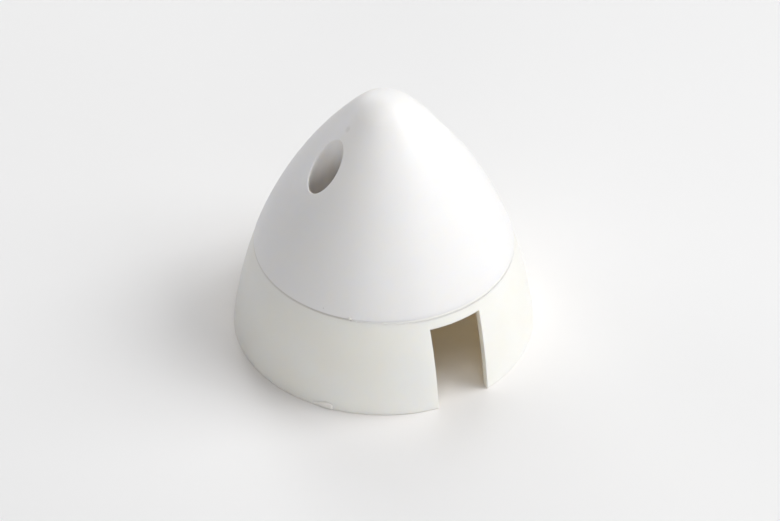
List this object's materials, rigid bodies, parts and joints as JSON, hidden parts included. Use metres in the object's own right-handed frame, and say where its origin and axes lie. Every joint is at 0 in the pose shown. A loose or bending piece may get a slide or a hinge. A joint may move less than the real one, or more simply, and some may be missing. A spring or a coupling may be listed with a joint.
{
  "type": "propeller spinner",
  "caption": "Ogive spinner for a two-blade propeller: nose cone with deep screw wells on a slotted base cup with a central shaft bore.",
  "frame": {"origin": "centre of the rear rim, in the rim's plane", "axes": "+Z forward along the propeller shaft to the nose; blade slots face -Y and +Y; screw wells on -X and +X"},
  "size_m": [0.0508, 0.0498, 0.0463],
  "materials": {
    "cone_plastic": "satin moulded, cool white",
    "cup_plastic": "satin moulded, ivory white",
    "screw_steel": "bright zinc plate"
  },
  "bodies": {
    "root": {"nose_cone": "cone_plastic", "base_cup": "cup_plastic", "cone_screw_left": "screw_steel", "cone_screw_right": "screw_steel"}
  },
  "joints": []
}
